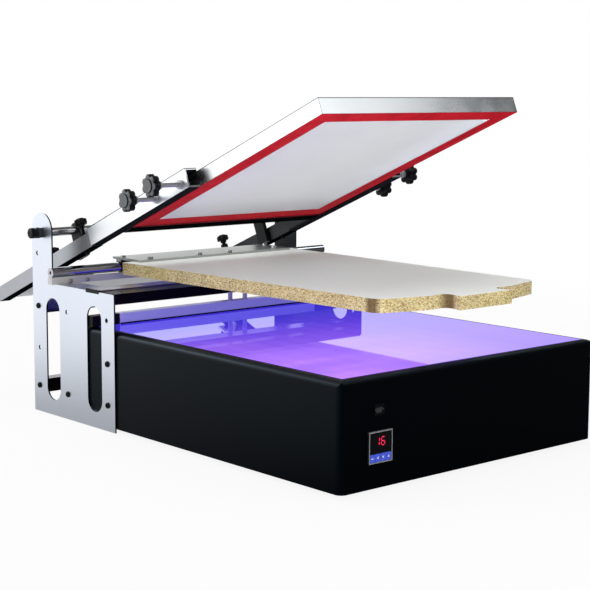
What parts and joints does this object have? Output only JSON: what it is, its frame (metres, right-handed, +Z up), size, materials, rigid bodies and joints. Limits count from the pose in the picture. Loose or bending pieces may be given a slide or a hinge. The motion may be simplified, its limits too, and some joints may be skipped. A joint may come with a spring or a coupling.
{
  "type": "screen printing machine",
  "caption": "Tabletop screen printing machine: glowing glass exposure box, slotted steel side plates, tilting head with a clamped screen, and a hinged pallet on a chrome rail.",
  "frame": {"origin": "middle of the whole machine's footprint, on the surface that it stands on", "axes": "+X to the right along the front, +Y to the rear along the head's arms, +Z up"},
  "size_m": [0.6728, 1.053, 0.582],
  "materials": {
    "housing_black": "satin powder coat",
    "plate_steel": "satin brushed",
    "bar_black": "satin powder coat",
    "bare_steel": "satin",
    "tube_aluminium": "satin",
    "arm_grey": "satin",
    "channel_white": "satin",
    "frame_aluminium": "satin",
    "rail_chrome": "polished",
    "screw_black": "black oxide",
    "knob_plastic": "matte",
    "rubber_black": "matte",
    "exposure_glass": "clear, lit from below",
    "opal_plastic": "opal",
    "lamp_board": "matte",
    "timer_bezel": "silver, satin",
    "timer_window": "gloss",
    "timer_blue": "satin",
    "rocker_grey": "satin",
    "board_laminate": "chipboard with a pale laminate top",
    "mesh_fabric": "stretched polyester mesh",
    "tape_red": "satin"
  },
  "bodies": {
    "stand": {"housing": "housing_black", "base_plate": "housing_black", "feet": "rubber_black", "glass": "exposure_glass", "glass_gasket": "rubber_black", "diffuser": "opal_plastic", "led_tray": "tube_aluminium", "led_strips": "lamp_board", "led_driver": "tube_aluminium", "timer_case": "timer_bezel", "timer_display": "timer_window", "rocker_frame": "knob_plastic", "power_inlet": "knob_plastic", "left_plate": "plate_steel", "right_plate": "plate_steel", "frame_screws": "screw_black", "rear_ties": "bar_black", "front_cross_tube": "bar_black", "mid_cross_tube": "tube_aluminium", "stop_blocks": "knob_plastic", "low_bar": "bare_steel", "pallet_levellers": "bare_steel", "rail_bed": "bare_steel", "rail": "rail_chrome", "pivot_shaft": "bare_steel"},
    "key_1": {"timer_key_1": "timer_blue"},
    "key_2": {"timer_key_2": "timer_blue"},
    "key_3": {"timer_key_3": "timer_blue"},
    "key_4": {"timer_key_4": "timer_blue"},
    "power_rocker": {"rocker": "rocker_grey"},
    "left_end_knob": {"end_knob_left": "knob_plastic"},
    "right_end_knob": {"end_knob_right": "knob_plastic"},
    "carriage": {"rail_collars": "screw_black"},
    "pallet": {"pallet_board": "board_laminate", "pallet_plate": "bare_steel", "pallet_hubs": "screw_black", "pallet_bolts": "bare_steel"},
    "head": {"pivot_lugs": "screw_black", "tail_arm_left": "arm_grey", "tail_arm_right": "arm_grey", "channel_left": "channel_white", "channel_right": "channel_white", "cross_bar": "arm_grey", "tail_tie": "bar_black", "head_fasteners": "bare_steel"},
    "left_height_screw": {"height_screw_left": "knob_plastic"},
    "right_height_screw": {"height_screw_right": "knob_plastic"},
    "left_tail_screw": {"tail_screw_left": "knob_plastic"},
    "right_tail_screw": {"tail_screw_right": "knob_plastic"},
    "screen": {"screen_frame": "frame_aluminium", "screen_mesh": "mesh_fabric", "screen_border": "tape_red"},
    "pad_left_rear": {"clamp_pad_left_rear": "rubber_black"},
    "screw_left_rear": {"clamp_screw_left_rear": "knob_plastic"},
    "pad_left_front": {"clamp_pad_left_front": "rubber_black"},
    "screw_left_front": {"clamp_screw_left_front": "knob_plastic"},
    "pad_right_rear": {"clamp_pad_right_rear": "rubber_black"},
    "screw_right_rear": {"clamp_screw_right_rear": "knob_plastic"},
    "pad_right_front": {"clamp_pad_right_front": "rubber_black"},
    "screw_right_front": {"clamp_screw_right_front": "knob_plastic"}
  },
  "joints": [
    {"name": "head_tilt", "type": "hinge", "parent": "stand", "child": "head", "pos_m": [-0.0186, 0.27796, 0.3335], "axis": [-1, 0, 0], "range_deg": [-22.4, 27.5]},
    {"name": "screen_slide", "type": "slide", "parent": "head", "child": "screen", "axis": [0, -0.9245, 0.3811], "range_m": [0, 0.18]},
    {"name": "pallet_shift", "type": "slide", "parent": "stand", "child": "carriage", "axis": [1, 0, 0], "range_m": [-0.05, 0.002]},
    {"name": "pallet_tilt", "type": "hinge", "parent": "carriage", "child": "pallet", "pos_m": [0.0079, 0.23576, 0.2645], "axis": [-1, 0, 0], "range_deg": [0, 20]},
    {"name": "timer_key_1_press", "type": "slide", "parent": "stand", "child": "key_1", "axis": [0, 1, 0], "range_m": [0, 0.0007], "stiffness_N_per_m": 400, "springref_m": -0.0005},
    {"name": "timer_key_2_press", "type": "slide", "parent": "stand", "child": "key_2", "axis": [0, 1, 0], "range_m": [0, 0.0007], "stiffness_N_per_m": 400, "springref_m": -0.0005},
    {"name": "timer_key_3_press", "type": "slide", "parent": "stand", "child": "key_3", "axis": [0, 1, 0], "range_m": [0, 0.0007], "stiffness_N_per_m": 400, "springref_m": -0.0005},
    {"name": "timer_key_4_press", "type": "slide", "parent": "stand", "child": "key_4", "axis": [0, 1, 0], "range_m": [0, 0.0007], "stiffness_N_per_m": 400, "springref_m": -0.0005},
    {"name": "power_rocker_flip", "type": "hinge", "parent": "stand", "child": "power_rocker", "pos_m": [-0.2331, -0.52004, 0.127], "axis": [1, 0, 0], "range_deg": [-18, 0]},
    {"name": "left_end_knob_turn", "type": "hinge", "parent": "stand", "child": "left_end_knob", "pos_m": [-0.3296, 0.27796, 0.3335], "axis": [1, 0, 0], "range_deg": [-180, 180]},
    {"name": "right_end_knob_turn", "type": "hinge", "parent": "stand", "child": "right_end_knob", "pos_m": [0.2924, 0.27796, 0.3335], "axis": [-1, 0, 0], "range_deg": [-180, 180]},
    {"name": "left_height_screw_turn", "type": "hinge", "parent": "head", "child": "left_height_screw", "pos_m": [-0.2521, 0.23894, 0.34958], "axis": [0, 0.3811, 0.9245], "range_deg": [-180, 180]},
    {"name": "right_height_screw_turn", "type": "hinge", "parent": "head", "child": "right_height_screw", "pos_m": [0.2149, 0.23894, 0.34958], "axis": [0, 0.3811, 0.9245], "range_deg": [-180, 180]},
    {"name": "left_tail_screw_turn", "type": "hinge", "parent": "head", "child": "left_tail_screw", "pos_m": [-0.2241, 0.38151, 0.29082], "axis": [0, 0.3811, 0.9245], "range_deg": [-180, 180]},
    {"name": "right_tail_screw_turn", "type": "hinge", "parent": "head", "child": "right_tail_screw", "pos_m": [0.1869, 0.38151, 0.29082], "axis": [0, 0.3811, 0.9245], "range_deg": [-180, 180]},
    {"name": "left_rear_pad_slide", "type": "slide", "parent": "head", "child": "pad_left_rear", "axis": [1, 0, 0], "range_m": [-0.005, 0]},
    {"name": "left_rear_screw_turn", "type": "hinge", "parent": "pad_left_rear", "child": "screw_left_rear", "pos_m": [-0.2656, -0.01633, 0.40937], "axis": [1, 0, 0], "range_deg": [-1440, 0]},
    {"name": "left_front_pad_slide", "type": "slide", "parent": "head", "child": "pad_left_front", "axis": [1, 0, 0], "range_m": [-0.005, 0]},
    {"name": "left_front_screw_turn", "type": "hinge", "parent": "pad_left_front", "child": "screw_left_front", "pos_m": [-0.2656, -0.08383, 0.43719], "axis": [1, 0, 0], "range_deg": [-1440, 0]},
    {"name": "right_rear_pad_slide", "type": "slide", "parent": "head", "child": "pad_right_rear", "axis": [-1, 0, 0], "range_m": [-0.005, 0]},
    {"name": "right_rear_screw_turn", "type": "hinge", "parent": "pad_right_rear", "child": "screw_right_rear", "pos_m": [0.2284, -0.01633, 0.40937], "axis": [-1, 0, 0], "range_deg": [-1440, 0]},
    {"name": "right_front_pad_slide", "type": "slide", "parent": "head", "child": "pad_right_front", "axis": [-1, 0, 0], "range_m": [-0.005, 0]},
    {"name": "right_front_screw_turn", "type": "hinge", "parent": "pad_right_front", "child": "screw_right_front", "pos_m": [0.2284, -0.08383, 0.43719], "axis": [-1, 0, 0], "range_deg": [-1440, 0]}
  ],
  "couplings": [
    {"joint": "left_rear_screw_turn", "follows": "left_rear_pad_slide", "rad_per_m": 5026.5},
    {"joint": "left_front_screw_turn", "follows": "left_front_pad_slide", "rad_per_m": 5026.5},
    {"joint": "right_rear_screw_turn", "follows": "right_rear_pad_slide", "rad_per_m": 5026.5},
    {"joint": "right_front_screw_turn", "follows": "right_front_pad_slide", "rad_per_m": 5026.5}
  ]
}
